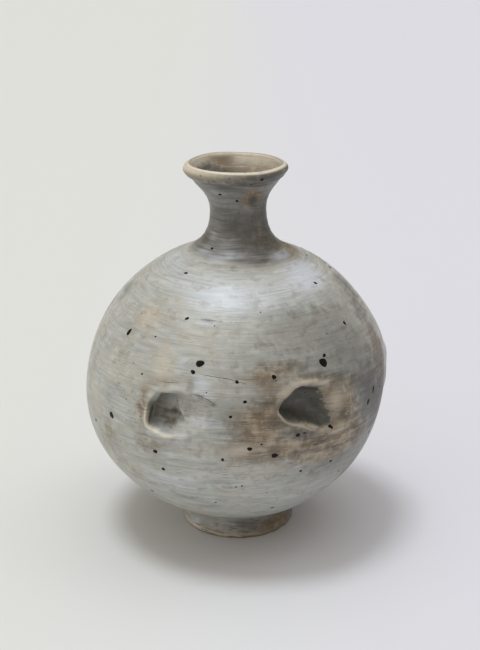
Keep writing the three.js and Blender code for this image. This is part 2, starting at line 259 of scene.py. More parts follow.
# Cream patches, some of them painted highlights on the ridges of the right press.
CREAM_AND_HIGHLIGHTS_SEEN = (
    (148, 317, 15, 12, 0.5), (164, 365, 11, 14, 0.5), (113, 455, 7, 14, 0.5),
    (104, 400, 5, 26, 0.3), (137, 420, 3, 10, 0.4), (241, 450, 12, 6, 0.5),
    (336, 400, 9, 10, 0.5), (290, 393, 9, 5, 0.4), (308, 381.5, 8, 2, 0.45),
    (322, 383, 8, 2, 0.45), (322, 430.5, 8, 1.8, 0.45), (335, 431.5, 8, 2.5, 0.45),
    (343, 427, 4, 5, 0.4), (311, 455, 7, 4, 0.35),
)

# Hairline cracks seen in the photograph: width in millimetres, then places along them in pixels
CRACKS_AND_SHADOW_LINE_SEEN = (
    (0.8, (199, 374), (212, 376.5), (228, 379), (246, 384)),
    # Not a crack but a painted shadow line, along the upper edge of the left press's scoop:
    (0.6, (191, 393.5), (200, 396), (210, 401), (215, 405)),
    (0.6, (160, 381), (168, 382.5), (177, 382.5)),
)

# Patches at the back, which the photograph doesn't show: how many, the seed of their draws, and
# the least and greatest half-width and half-height
BACK_PATCHES = {
    "tan": (9, 21, (10, 34), (6, 16)),
    "dark": (5, 22, (12, 34), (3, 9)),
    "pale": (3, 23, (16, 34), (4, 12)),
    "veil": (4, 24, (20, 44), (10, 30)),
    "worn": (6, 25, (16, 40), (8, 20)),
    "cream": (4, 26, (10, 20), (8, 16)),
}

# Grid spacings, and the spans of degrees about a press that have close columns
STEEP_STEP = math.radians(0.12)
PRESSED_STEP = math.radians(0.42)
PLAIN_STEP = math.radians(1.2)
STEEP_SPAN = (-7.5, -2.5)
PRESSED_SPAN = (-16.0, 25.0)
LIP_ROW = 0.4
FOOT_ROW = 0.6
FINE_ROW = 0.75
WALL_ROW = 1.3
INSIDE_ROW = 2.4
RECESS_ROW = 5.0
PRESSED_HEIGHT = 64.0  # how far above the widest level the rows lie close together

# Lamps: how wide each looks in degrees, where it shines, and its colour
COOL = (0.93, 0.97, 1.0)
LAMPS = {
    "key": (16.0, (0.18, 0.03, -1.0), COOL),
    "ceiling": (60.0, (-0.02, -0.1, -1.0), COOL),
    "fill": (80.0, (1.0, 0.6, -0.75), (1.0, 0.98, 0.94)),
    "window": (40.0, (-0.9, -0.15, -1.0), (0.96, 0.97, 1.0)),
}
SURROUND_COLOUR = (1.0, 0.89, 0.76, 1.0)
FLOOR_BLEND = 0.25  # metres from the middle to where the floor has the colour of its side


def smooth(value, low, high):
    """Smoothstep: 0 below low, 1 above high, and 3t^2 - 2t^3 between them."""
    t = np.clip((value - low) / (high - low), 0.0, 1.0)
    return t * t * (3.0 - 2.0 * t)


def ellipse_half(radius, end_radius, distance):
    """Half-height of an ellipse of that radius which narrows to end_radius at a distance."""
    return distance / math.sqrt(1.0 - (end_radius / radius) ** 2)


def quarter(radius, half, rise, side, count=160):
    """Part of an ellipse about the widest level, from there to a rise above or below it."""
    angle = np.linspace(0.0, math.asin(rise / half), count)
    return np.stack((radius * np.cos(angle), WIDEST + side * half * np.sin(angle)), 1)


def bezier(points, count=60):
    """Cubic Bezier curve through four control points."""
    t = np.linspace(0.0, 1.0, count)[:, None]
    weights = ((1 - t) ** 3, 3 * t * (1 - t) ** 2, 3 * t * t * (1 - t), t**3)
    return sum(weight * np.array(point) for weight, point in zip(weights, points))


def neck_outline(shoulder, waist, mouth):
    """The concave neck: on from a shoulder, in to the waist, then out to the mouth."""
    root = shoulder[-1]
    along = (root - shoulder[-2]) / np.linalg.norm(root - shoulder[-2])
    lower = waist[1] - root[1]
    upper = mouth[1] - waist[1]
    under_waist = (waist[0], waist[1] - 0.65 * lower)
    over_waist = (waist[0], waist[1] + 0.48 * upper)
    under_mouth = (mouth[0] - 0.25 * upper, mouth[1] - 0.28 * upper)
    inward = bezier((root, root + 0.45 * lower * along, under_waist, waist))
    outward = bezier((waist, over_waist, under_mouth, mouth))
    return np.concatenate((inward, outward[1:]))


def wall_section():
    """The whole section of the pot's skin as one dense line of radius and height, the station of
    each of its points, and the stations at which its stretches end."""
    foot_inner = FOOT_WAIST_RADIUS - FOOT_WALL
    bowl_half = ellipse_half(BELLY_RADIUS, BELLY_ROOT_RADIUS, WIDEST - FOOT_HEIGHT)
    shoulder_half = ellipse_half(BELLY_RADIUS, NECK_ROOT_RADIUS, NECK_ROOT - WIDEST)
    inside_radius = BELLY_RADIUS - BELLY_WALL
    inside_half = shoulder_half - BELLY_WALL
    throat = inside_half * math.sqrt(1.0 - (NECK_ROOT_RADIUS / inside_radius) ** 2)
    roll = (LIP_RADIUS - LIP_ROUND, CREST - LIP_ROUND)

    shoulder = quarter(BELLY_RADIUS, shoulder_half, NECK_ROOT - WIDEST, 1)
    inside_shoulder = quarter(inside_radius, inside_half, throat, 1)
    outside_neck = neck_outline(
        shoulder, (NECK_WAIST_RADIUS, NECK_WAIST), (roll[0] + 0.45 * LIP_ROUND, LIP_SEAM)
    )
    inside_neck = neck_outline(
        inside_shoulder,
        (NECK_WAIST_RADIUS - NECK_WALL, NECK_WAIST),
        (roll[0] - 2.3 * LIP_ROUND, LIP_SEAM),
    )
    turn = np.radians(np.linspace(-45.0, 140.0, 60))
    lip = np.stack((roll[0] + LIP_ROUND * np.cos(turn), roll[1] + LIP_ROUND * np.sin(turn)), 1)
    flare = bezier((
        (FOOT_RADIUS, FOOT_EDGE),
        (FOOT_WAIST_RADIUS + 0.3, 0.4 * FOOT_RECESS),
        (FOOT_WAIST_RADIUS, 0.7 * FOOT_RECESS),
        (FOOT_WAIST_RADIUS, FOOT_RECESS),
    ))
    bowl = quarter(BELLY_RADIUS, bowl_half, WIDEST - FOOT_HEIGHT, -1)[::-1]
    angle = np.linspace(0.5 * math.pi, 0.0, 160)
    inside_rise = WIDEST - (WIDEST - FLOOR_LEVEL) * np.cos(angle)
    inside_bowl = np.stack((inside_radius * np.sin(angle), inside_rise), 1)
    stretches = {
        "recess": [(0.0, FOOT_RECESS), (foot_inner, FOOT_RECESS)],
        "ring": [
            (foot_inner, FOOT_EDGE),
            (foot_inner + FOOT_EDGE, 0.0),
            (FOOT_RADIUS - FOOT_EDGE, 0.0),
        ],
        "ring_top": flare,
        "pad": [(FOOT_WAIST_RADIUS, PAD_HEIGHT)],
        "widest": bowl,
        "neck_root": shoulder[1:],
        "lip": outside_neck[1:],
        "lip_inside": lip[1:],
        "root_inside": inside_neck[::-1],
        "widest_inside": inside_shoulder[::-1][1:],
        "floor": inside_bowl[1:],
    }
    line = np.concatenate([np.array(points, float) for points in stretches.values()])
    steps = np.linalg.norm(np.diff(line, axis=0), axis=1)
    station = np.concatenate(([0.0], np.cumsum(steps)))
    counts = np.cumsum([len(points) for points in stretches.values()])
    ends = {name: station[count - 1] for name, count in zip(stretches, counts)}
    ends["crest"] = station[np.argmax(line[:, 1])]
    down = station > ends["crest"]
    for name, height in (("lip_inside", LIP_SEAM), ("root_inside", NECK_ROOT)):
        ends[name] = np.interp(-height, -line[down][:, 1], station[down])
    return line, station, ends


LINE, STATION, ENDS = wall_section()


def axis_shift(height):
    """How far the pot's axis wanders along X: a cubed half wave over the belly that peaks low
    down, and a lean that grows from the neck's waist."""
    belly = np.clip((height - FOOT_RECESS) / (NECK_ROOT - FOOT_RECESS), 0.0, 1.0)
    lean = smooth(height, NECK_WAIST, CREST)
    return -BELLY_SAG * np.sin(math.pi * belly**0.55) ** 3 - MOUTH_LEAN * lean


def bell(value, middle, width):
    """A bell curve that is 1 at the middle."""
    return np.exp(-(((value - middle) / width) ** 2))


def turn_from(azimuth, middle):
    """How far azimuths lie from a middle one round the pot, from -pi to pi."""
    return np.mod(azimuth - middle + math.pi, 2 * math.pi) - math.pi


def outline_reach(corners):
    """Reach of a rounded outline from its middle at each degree: that of the straight lines
    between its corners, averaged under a bell curve a few degrees wide."""
    ring = np.array(corners + corners[:1], float)
    share = np.linspace(0, len(corners), 40 * len(corners))
    along, up = (np.interp(share, np.arange(len(ring)), ring[:, i]) for i in range(2))
    angle = np.degrees(np.arctan2(up, along))
    straight = np.interp(DEGREES, angle, np.hypot(along, up), period=360)
    weights = bell(np.arange(-20, 21), 0, 8)
    return np.convolve(np.tile(straight, 3), weights / weights.sum(), "same")[360:720]


REACHES = [
    (outline_reach(press["pit_corners"]), outline_reach(press["scoop_corners"]))
    for press in PRESSES
]


def press_shape(press, reaches, azimuth, height, spread=0.0):
    """The shape of a press at places on the wall.

    It gives how far along and up the wall a place is from the pit's middle, the depth there, the
    share of the pit's depth, how far it lies outside the scoop's outline, and the clay pushed up.
    The depth falls as 1 - r^p to an outline at r = 1, so the rim is crisp, and steep where p is
    high. The ridge is a bell curve just outside the scoop. Waves make the outlines uneven.
    """
    flat = turn_from(azimuth, math.radians(press["azimuth"])) * BELLY_RADIUS
    rise = height - WIDEST - press["rise"]
    along = flat + 0.6 * np.sin(rise / 4.5 + press["rise"])
    up = rise + 0.5 * np.sin(flat / 6.0 + press["azimuth"]) + 0.3 * np.sin(flat / 2.1)
    far = np.hypot(along, up)
    direction = np.degrees(np.arctan2(up, along))
    shares = []
    for reach, name in zip(reaches, ("pit_steep", "scoop_steep")):
        right, upper, left, lower = press[name]
        power = np.interp(direction, (-180, -90, 0, 90, 180), (left, lower, right, upper, left))
        edge = np.interp(direction, DEGREES, reach, period=360) + spread
        shares.append(np.clip(1.0 - np.minimum(far / edge, 2.0) ** power, 0.0, 1.0))
    pit, scoop = shares
    swept = smooth(along, 0.0, reaches[1].max())
    outside = far - edge
    depth = press["pit"] * pit + press["scoop"] * scoop * (1.0 - 0.6 * swept)
    ridge = press["ridge"] * bell(outside, 0.3 * RIDGE_WIDTH, RIDGE_WIDTH) * (1.0 - 0.6 * swept)
    return along, up, depth, pit, outside, ridge


def waves(station, azimuth, seed, count, around, length, size):
    """Soft unevenness: a sum of sine waves of random phase that close round the pot, with up to
    `around` waves round it and wave lengths of `length` millimetres and more along it."""
    draw = np.random.default_rng(seed)
    total = np.zeros(np.broadcast(station, azimuth).shape)
    for _ in range(count):
        turns = draw.integers(0, around + 1)
        pitch = length * draw.uniform(1.0, 3.0)
        phase = draw.uniform(0.0, 2 * math.pi)
        total += np.sin(turns * azimuth + 2 * math.pi * station / pitch + phase)
    return size * total / math.sqrt(count)


def section_point(station):
    """Radius and height of the section at a station."""
    return np.interp(station, STATION, LINE[:, 0]), np.interp(station, STATION, LINE[:, 1])


def section_at(station):
    """Radius and height of the section at a station, and its normal away from the clay."""
    step = 0.4
    radius, height = section_point(station)
    radius_before, height_before = section_point(station - step)
    radius_after, height_after = section_point(station + step)
    out = height_after - height_before
    up = radius_before - radius_after
    run = np.hypot(out, up) + 1e-9
    return radius, height, out / run, up / run


def unevenness(station, azimuth, height):
    """How proud of its section the wall stands: soft lumps, the throwing rings of the neck, and
    the bead under the lip with the groove below it."""
    thrown = (station > ENDS["ring_top"]) & (station < ENDS["floor"] - 20.0)
    lumps = waves(
        station, azimuth, seed=5, count=9, around=4, length=LUMP_LENGTH, size=LUMP_HEIGHT
    )
    rings = RING_HEIGHT * np.sin(2 * math.pi * station / RING_PITCH + azimuth + 2.0 * lumps)
    rings *= smooth(height, NECK_ROOT - 30, NECK_ROOT + 4)
    fainter = 0.6 * smooth(height, NECK_ROOT + 8, NECK_WAIST)
    rings *= 1.0 - fainter - 0.4 * smooth(height, CREST - 16, CREST - 8)
    lip = smooth(height, LIP_SEAM, CREST)
    bead = bell(station, ENDS["lip"] + 3.0, BEAD_WIDTH)
    groove = 0.7 * bell(station, ENDS["lip"] - 3.5, BEAD_WIDTH)
    bead = BEAD_HEIGHT * (bead - groove) * (0.7 - 0.3 * np.sin(azimuth))
    return np.where(thrown, lumps + rings, 0.0) * (1.0 - lip) - SKIN + bead


def edge_lift(station, azimuth, height):
    """How far the crest of the lip rises and falls, and how far chips go up into the edge that
    the pot stands on."""
    lip = smooth(height, LIP_SEAM, CREST)
    wavy = 0.35 * np.sin(2 * azimuth + 0.6) + 0.2 * np.sin(5 * azimuth + 2.0) - 0.2
    raised = RIM_RISE * bell(azimuth, RIM_RISE_AZIMUTH, RIM_RISE_WIDTH)
    chips = waves(
        0.0 * station, azimuth, seed=11, count=10, around=19, length=1.0, size=CHIP_DEPTH
    )
    edge = 1.0 - smooth(height, 0.0, CHIP_REACH)
    return lip * (wavy + raised) + edge * np.clip(chips, 0.0, 2.0)


def swelling(azimuth, height):
    """How proud the swelling above the third press stands: a bell curve along and up the wall."""
    flat = turn_from(azimuth, math.radians(SWELLING["azimuth"])) * BELLY_RADIUS
    rise = height - WIDEST - SWELLING["rise"]
    reach = np.where(rise > 0.0, SWELLING["above"], SWELLING["below"])
    return SWELLING["height"] * bell(flat, 0.0, SWELLING["along"]) * bell(rise, 0.0, reach)


def skin(station, azimuth):
    """Places, in millimetres, on the pot's skin.

    The section is turned about the axis, moved along its own normal by its unevenness, lifted at
    its edges, pushed in along the radius by the presses, dragged sideways under the blunt edges
    that overhang, and shifted along X by the wandering axis.
    """
    station, azimuth = np.broadcast_arrays(station, azimuth)
    radius, height, normal_out, normal_up = section_at(station)
    proud = unevenness(station, azimuth, height)
    lift = edge_lift(station, azimuth, height)
    radius = radius + proud * normal_out
    height = height + np.where(height < 0.5, 0.0, proud * normal_up) + lift
    pushed = -swelling(azimuth, height)
    dragged = 0.0
    spread = np.where(station > ENDS["lip_inside"], BELLY_WALL, 0.0)
    for press, reaches in zip(PRESSES, REACHES):
        along, _, depth, pit, _, ridge = press_shape(press, reaches, azimuth, height, spread)
        blunt = 1.0 - smooth(along, -6.0, 5.0)
        pushed = pushed + depth - ridge
        dragged = dragged + press["overhang"] * pit * blunt
    radius = np.maximum(radius - np.where(radius > 1.0, pushed, 0.0), 0.0)
    azimuth = azimuth - dragged / BELLY_RADIUS
    across = axis_shift(height) + radius * np.sin(azimuth)
    return np.stack((across, -radius * np.cos(azimuth), height), -1)


def skin_normal(station, azimuth):
    """Unit normals of the skin, from the cross product of two short steps on it."""
    step = 0.3
    turn = step / np.maximum(section_at(station)[0], 5.0)
    around = skin(station, azimuth + turn) - skin(station, azimuth - turn)
    along = skin(station + step, azimuth) - skin(station - step, azimuth)
    normal = np.cross(around, along)
    return normal / np.linalg.norm(normal, axis=-1, keepdims=True)


def to_photo(places):
    """Where places, in millimetres, fall in the photograph, in its pixels."""
    offset = places - np.array(CAMERA_PLACE)
    cos, sin = math.cos(CAMERA_PITCH), math.sin(CAMERA_PITCH)
    depth = offset[..., 1] * cos - offset[..., 2] * sin
    down = -offset[..., 2] * cos - offset[..., 1] * sin
    x = 0.5 * PHOTO_WIDTH + FOCAL_PIXELS * offset[..., 0] / depth
    y = 0.5 * PHOTO_HEIGHT + FOCAL_PIXELS * down / depth
    return np.stack((x, y), -1)


def seen_places():
    """Stations, azimuths and pixels of a grid of places on the outside that face the camera."""
    stations = np.linspace(ENDS["ring"] + 1.0, ENDS["lip"] + 4.0, 420)
    azimuths = np.radians(np.linspace(-88.0, 88.0, 360))
    grid_s, grid_a = np.meshgrid(stations, azimuths, indexing="ij")
    places = skin(grid_s, grid_a)
    sight = np.array(CAMERA_PLACE) - places
    seen = np.sum(sight * skin_normal(grid_s, grid_a), axis=-1) > 0.0
    return grid_s[seen], grid_a[seen], to_photo(places)[seen]


SEEN_PLACES = seen_places()


def find_on_skin(pixels):
    """Stations and azimuths of the places on the outside that the photograph shows at those
    pixels: the nearest of the seen places, then four Newton steps."""
    small_step, small_turn = 0.2, 0.002
    most_step, most_turn = 2.0, 0.03
    least_slope = 5.0
    stations, azimuths, shown = SEEN_PLACES
    gaps = np.linalg.norm(pixels[:, None] - shown[None], axis=-1)
    nearest = np.argmin(gaps, axis=1)
    station, azimuth = stations[nearest], azimuths[nearest]
    for _ in range(4):
        here = to_photo(skin(station, azimuth))
        by_station = (to_photo(skin(station + small_step, azimuth)) - here) / small_step
        by_azimuth = (to_photo(skin(station, azimuth + small_turn)) - here) / small_turn
        slopes = np.stack((by_station, by_azimuth), -1)
        steady = np.abs(np.linalg.det(slopes)) > least_slope
        change = np.zeros(pixels.shape)
        miss = (pixels - here)[steady][..., None]
        change[steady] = np.linalg.solve(slopes[steady], miss)[..., 0]
        station = station + np.clip(change[:, 0], -most_step, most_step)
        azimuth = azimuth + np.clip(change[:, 1], -most_turn, most_turn)
    return station, azimuth


def placed(seen):
    """Rows of station, azimuth and the remaining values, for rows placed by pixels."""
    rows = np.array(seen, float)
    station, azimuth = find_on_skin(rows[:, :2])
    return np.column_stack((station, azimuth, rows[:, 2:]))


def at_back(count, seed, low, high):
    """Stations and azimuths spread at random over the side that the photograph doesn't show."""
    draw = np.random.default_rng(seed)
    station = draw.uniform(low, high, count)
    azimuth = np.radians(draw.uniform(95.0, 265.0, count))
    return draw, station, azimuth


def patches(seen, count, seed, widths, heights):
    """The patches of one colour: those seen, and others like them at the back."""
    draw, station, azimuth = at_back(count, seed, ENDS["pad"] + 20, ENDS["neck_root"] - 10)
    back = (
        station,
        azimuth,
        draw.uniform(*widths, count),
        draw.uniform(*heights, count),
        draw.uniform(0.5, 0.85, count),
    )
    return np.concatenate((placed(seen), np.column_stack(back)))


def painted(rows, station, azimuth):
    """How strongly patches cover places on the skin: each is a bell curve of two half-widths,
    and together they leave bare the product of what each leaves bare."""
    radius = section_at(station)[0]
    bare = np.ones(station.shape)
    for middle, turn, width, height, strength in rows:
        across = turn_from(azimuth, turn) * radius
        reach = (across / width) ** 2 + ((station - middle) / height) ** 2
        bare *= 1.0 - strength * np.exp(-0.9 * reach)
    return 1.0 - bare


SEEN_PATCHES = {
    "tan": TAN_SEEN,
    "dark": DARK_AND_SHADE_SEEN,
    "pale": PALE_AND_HIGHLIGHTS_SEEN,
    "veil": VEIL_AND_SHADE_SEEN,
    "worn": WORN_SEEN,
    "cream": CREAM_AND_HIGHLIGHTS_SEEN,
}
PATCHES = {name: patches(seen, *BACK_PATCHES[name]) for name, seen in SEEN_PATCHES.items()}


def raise_masks(values, **others):
    """Raises masks to the given values where these are higher."""
    for name, other in others.items():
        values[name] = np.maximum(values[name], other)


def colour_presses(values, azimuth, height, outer):
    """Adds the presses to the masks of the outer side: dark floors with torn right ends, toasted
    slopes, streaked slopes darkened with painted shade, and cream rims on the left and below
    that are partly painted highlight."""
    for press, reaches in zip(PRESSES, REACHES):
        along, up, _, pit, outside, _ = press_shape(press, reaches, azimuth, height)
        torn = 0.16 * np.sin(1.1 * up) + 0.1 * np.sin(2.7 * up + 0.4 * along) - 0.08
        ragged = pit + torn * smooth(along, 2.0, 10.0) * smooth(up, -16.0, -10.0)
        deep = np.where(outer & (pit > 0.0), smooth(ragged, -0.05, 0.12), 0.0)
        slope = smooth(-outside, 0.0, 3.0) * (1.0 - deep) * outer
        beside = 0.75 * bell(outside, 2.0, 4.0) * outer
        # The cream rim is partly painted highlight, on the lower rims that face the light.
        rim = bell(outside, 0.5, 1.2) * (1.0 - 0.85 * smooth(up, -5.0, 6.0)) * outer
        rim *= press["cream"] * (1.0 - smooth(along, 6.0, 24.0))
        # Painted shade with the streaks: the untoasted scoop is darkened so that it reads as a
        # groove.
        streaks_and_shade = 0.4 * slope * (1.0 - press["toast"]) * (1.0 - smooth(along, 0.0, 34.0))
        floor = press["dark"] * deep
        toast = press["toast"] * np.maximum(slope, beside)
        raise_masks(values, tan=toast, dark=np.maximum(floor, streaks_and_shade), cream=rim)
        for name in ("tan", "pale", "veil"):
            values[name] = values[name] * (1.0 - floor)


def colour_ends(values, station, radius, height, left, near):
    """Adds the neck, the lip and the foot to the masks: thin slip on the neck and the foot, which
    is also painted shade on the lowest belly and is lessened on the neck's lit left; tan on the
    lip and on the edge of the foot; glaze that pooled on the lip and under it, which is also
    painted shade below the crest, on the lip's right and in the groove under it; and cream on
    the lower edge of the foot."""
    neck = smooth(station - 6.0 * left, ENDS["neck_root"] - 8.0, ENDS["neck_root"] + 16.0)
    lip = smooth(station, ENDS["lip"] - 3.0, ENDS["lip"] + 1.0)
    # The foot mask thins the slip on the foot and marks it worn, and on the lowest belly it is
    # painted shade, darker towards the foot and less so on the left.
    foot = 1.0 - smooth(height, 10.0, 34.0)
    edge = 1.0 - smooth(height, 1.0, 6.0)
    # On the neck the thin slip is lessened on the left, painted light on its lit side.
    thin_neck = neck * (1.0 - 0.2 * left) * (1.0 - 0.5 * lip)
    values["thin"] = np.maximum(thin_neck, foot * (0.75 - 0.5 * left))
    # Pooled glaze that is also painted shade: the lip is darker below its crest and on its right.
    pooled = 0.8 * lip * (1.0 - bell(station, ENDS["crest"], 3.0)) * (1.0 - left)
    # Pooled glaze that is also painted shade in the groove under the lip, strongest at the front.
    under = 0.6 * bell(station, ENDS["lip"] - 2.5, 1.6) * near * (1.0 - 0.5 * left)
    base = bell(height, 2.4, 2.2) * (radius > 36.0) * (0.25 + 0.75 * left)
    raise_masks(values, tan=lip * (0.4 + 0.3 * left), dark=pooled, cream=base, worn=foot)
    raise_masks(values, tan=0.8 * edge, dark=under)


def mouth_colours(azimuth, height, near):
    """Masks inside the pot: a toasted wall, browner at the left of the far side, painted shade in
    the throat that reaches higher on the left, and cream under the far rim."""
    browned = bell(np.sin(azimuth), -0.36, 0.3)
    hollow = smooth(-np.sin(azimuth), -0.2, 0.9)
    below = THROAT_SHADE_LEVEL + 7.5 * hollow - height
    # Painted shade down in the throat, higher on the left.
    throat = (0.66 + 0.2 * hollow) * smooth(below, 0.0, 5.0 + hollow)
    cream = 0.62 * (1.0 - near) * smooth(height, CREST - 12.0, CREST - 4.0)
    return {
        "thin": 0.1,
        "tan": 0.65 + 0.2 * np.sin(2.0 * azimuth + 2.6) + 0.35 * browned,
        "dark": throat,
        "cream": cream * (1.0 - throat) * (1.0 - 0.9 * browned),
    }


def colour_crest(values, station, left, near):
    """Adds cream lines along the crest of the lip, which are also painted highlights on its rounded
    top: in front, on the left and on the far side.
    """
    past = station - ENDS["crest"]
    front = bell(past, -0.9, 1.9) * (0.1 + 1.4 * near)
    side = 0.85 * bell(past, -3.6, 3.6) * left
    far = 0.75 * bell(past, 2.2, 2.2) * (1.0 - near)
    raise_masks(values, cream=np.maximum.reduce((front, side, far)))


def masks(station, azimuth):
    """What the materials read on each place of the skin, and its flow.

    The masks say how tan, dark, pale, veiled, worn, thinly coated and creamy a place is; the dark,
    veiled and thin masks also carry painted shade, and the pale and creamy ones painted highlights.
    The flow is the place on the turned section, in which brush strokes run level and wander a
    little.
    """
    radius, height, _, _ = section_at(station)
    inside = station > ENDS["crest"] + 2.5
    left = 0.5 - 0.5 * np.sin(azimuth + 0.3)
    near = 0.5 + 0.5 * np.cos(azimuth)
    values = {name: painted(rows, station, azimuth) for name, rows in PATCHES.items()}
    colour_presses(values, azimuth, height, ~inside)
    colour_ends(values, station, radius, height, left, near)
    for name, value in mouth_colours(azimuth, height, near).items():
        values[name] = np.where(inside, value, values[name])
    colour_crest(values, station, left, near)
    wander = waves(station, azimuth, seed=31, count=8, around=5, length=90.0, size=1.2)
    turned = (radius * np.sin(azimuth), -radius * np.cos(azimuth), station + wander)
    return values, np.stack(turned, -1) / FLOW_UNIT


def columns():
    """Azimuths of the columns round the pot: close together across the presses, and closest
    across the steep wall of the first."""
    turns = [-math.pi]
    while turns[-1] < math.pi - 1e-6:
        here = math.degrees(turns[-1])
        apart = [here - press["azimuth"] for press in PRESSES]
        pressed = any(PRESSED_SPAN[0] < degrees < PRESSED_SPAN[1] for degrees in apart)
        steep = STEEP_SPAN[0] < apart[0] < STEEP_SPAN[1]
        step = STEEP_STEP if steep else PRESSED_STEP if pressed else PLAIN_STEP
        turns.append(turns[-1] + step)
    turns = np.array(turns)
    share = (turns - turns[0]) / (turns[-1] - turns[0])
    return (-math.pi + share * 2 * math.pi)[:-1]


COLUMNS = columns()


def rows_between(*stretches):
    """Stations of rows along stretches, each given by its start, end and greatest spacing."""
    rows = []
    for start, end, spacing in stretches:
        count = max(2, int(math.ceil(abs(end - start) / spacing)) + 1)
        rows.append(np.linspace(start, end, count))
    return np.concatenate(rows)


def new_piece(name, places, faces, slot, material):
    """Makes a mesh object from places in millimetres, and puts it on the pot's body."""
    mesh = bpy.data.meshes.new(name)
    mesh.from_pydata(np.asarray(places) * MM, [], faces)
    mesh.validate()
    mesh.shade_smooth()
    mesh.set_sharp_from_angle(angle=math.radians(60.0))
    mesh.materials.append(material)
    piece = bpy.data.objects.new(name, mesh)
    bpy.context.scene.collection.objects.link(piece)
    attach(piece, BODY)
    return piece


def keep_masks(mesh, values, flow):
    """Stores masks and the flow on the points of a mesh, for the materials."""
    for name, value in values.items():
        attribute = mesh.attributes.new(name, "FLOAT", "POINT")
        attribute.data.foreach_set("value", np.clip(value, 0.0, 1.0).ravel())
    attribute = mesh.attributes.new("flow", "FLOAT_VECTOR", "POINT")
    attribute.data.foreach_set("vector", flow.ravel())


def grid_faces(rows, around, poles):
    """Faces of a grid that closes round the pot, and the grid points that its points are.

    With poles, the first and last rows are one point each, joined to their neighbours by fans of
    triangles. Otherwise the last row joins the first across the clay.
    """
    numbers = np.arange(rows * around).reshape(rows, around)
    if poles:
        numbers = np.clip(numbers - (around - 1), 0, (rows - 2) * around + 1)
    kept = np.unique(numbers, return_index=True)[1]
    below = numbers[1:-2] if poles else numbers
    above = numbers[2:-1] if poles else np.roll(numbers, -1, axis=0)
    quads = np.stack((below, np.roll(below, -1, 1), np.roll(above, -1, 1), above), -1)
    faces = quads.reshape(-1, 4).tolist()
    if poles:
        first, last = numbers[1], numbers[-2]
        faces += np.stack((numbers[0], np.roll(first, -1), first), -1).tolist()
        faces += np.stack((last, np.roll(last, -1), numbers[-1]), -1).tolist()
    return faces, kept


def throw_section(context, node, slot, *stretches):
    """One thrown section as a closed mesh that stands for its solid: rows of stations along the
    stretches, and columns of azimuths. A section that starts on the axis ends there too."""
    material = shared_material(slip_and_glaze, context.scene.bottle_finish)
    stations = rows_between(*stretches)
    grid_s, grid_a = np.meshgrid(stations, COLUMNS, indexing="ij")
    poles = stations[0] == 0.0
    faces, kept = grid_faces(*grid_s.shape, poles)
    places = skin(grid_s, grid_a)
    if poles:
        places[0] = places[0].mean(axis=0)
        places[-1] = places[-1].mean(axis=0)
    values, flow = masks(grid_s, grid_a)
    piece = new_piece(f"{node}_clay", places.reshape(-1, 3)[kept], faces, slot, material)
    kept_values = {name: value.ravel()[kept] for name, value in values.items()}
    keep_masks(piece.data, kept_values, flow.reshape(-1, 3)[kept])
    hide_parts(node)


def spot_rows():
    """Every iron spot: station, azimuth, length, width and angle. Small ones are commoner."""
    lowest, highest = ENDS["pad"] + 8, ENDS["neck_root"] + 20
    draw, station, azimuth = at_back(BACK_SPOTS, BACK_SPOTS_SEED, lowest, highest)
    length = 1.1 + 4.2 * draw.uniform(0.0, 1.0, BACK_SPOTS) ** 2.6
    width = length * draw.uniform(0.55, 0.95, BACK_SPOTS)
    angle = draw.uniform(-80.0, 80.0, BACK_SPOTS)
    back = np.column_stack((station, azimuth, length, width, angle))
    return np.concatenate((placed(SPOTS_SEEN), back))


def spot_shapes(relief):
    """Points and faces of all the iron spots, and how near each point is to its spot's middle.

    A spot is a low blister on the skin: rings of points at shares of an uneven oval, each lifted
    along the skin's normal. The outer ring is sunk into the clay outside the size that shows, and
    the middle of a large spot has burst and dips. A point under the skin closes it.
    """
    sides = 12
    shares = np.array((1.35, 1.15, 0.7, 0.0, 0.0))
    lifts = relief * np.array((-1.6, 0.55, 1.0, 0.9, -3.0))
    rows = spot_rows()
    station, azimuth, length, width, angle = (rows[:, i, None, None] for i in range(5))
    draw = np.random.default_rng(SPOT_OUTLINES_SEED)
    phase = draw.uniform(0.0, 2 * math.pi, (2, len(rows), 1, 1))
    turn = np.linspace(0.0, 2 * math.pi, sides, endpoint=False)[None, None]
    wobble = 1.0 + 0.12 * np.sin(2 * turn + phase[0]) + 0.08 * np.sin(3 * turn + phase[1])
    share = shares[None, :, None]
    long = 0.5 * length * share * wobble * np.cos(turn)
    short = 0.5 * width * share * wobble * np.sin(turn)
    tilt = np.radians(angle)
    across = long * np.cos(tilt) - short * np.sin(tilt)
    up = long * np.sin(tilt) + short * np.cos(tilt)
    where = (station + up, azimuth + across / np.maximum(section_at(station)[0], 5.0))
    lift = lifts[None, :, None] * np.clip(length / 2.5, 0.5, 1.6)
    burst = np.where((shares == 0.0) & (lifts > 0.0), 1.0, 0.0)[None, :, None]
    lift = lift - 1.3 * relief * burst * smooth(length, 2.2, 3.4)
    places = skin(*where) + skin_normal(*where) * lift[..., None]
    places = places.reshape(len(rows), -1, 3)
    top = 3 * sides
    points = np.concatenate((places[:, :top], places[:, top::sides]), axis=1)
    core = np.concatenate((np.repeat(1.4 - shares[:3], sides), (1.0, 0.0)))
    ring = np.arange(sides)
    beside = (ring + 1) % sides
    parts = []
    for outer, inner in ((0, sides), (sides, 2 * sides)):
        band = (outer + ring, outer + beside, inner + beside, inner + ring)
        parts.append(np.stack(band, -1))
    parts.append(np.stack((2 * sides + ring, 2 * sides + beside, np.full(sides, top)), -1))
    parts.append(np.stack((beside, ring, np.full(sides, top + 1)), -1))
    offsets = (points.shape[1] * np.arange(len(rows)))[:, None, None]
    faces = []
    for part in parts:
        faces += (part[None] + offsets).reshape(-1, part.shape[1]).tolist()
    return points.reshape(-1, 3), faces, np.tile(core, len(rows))


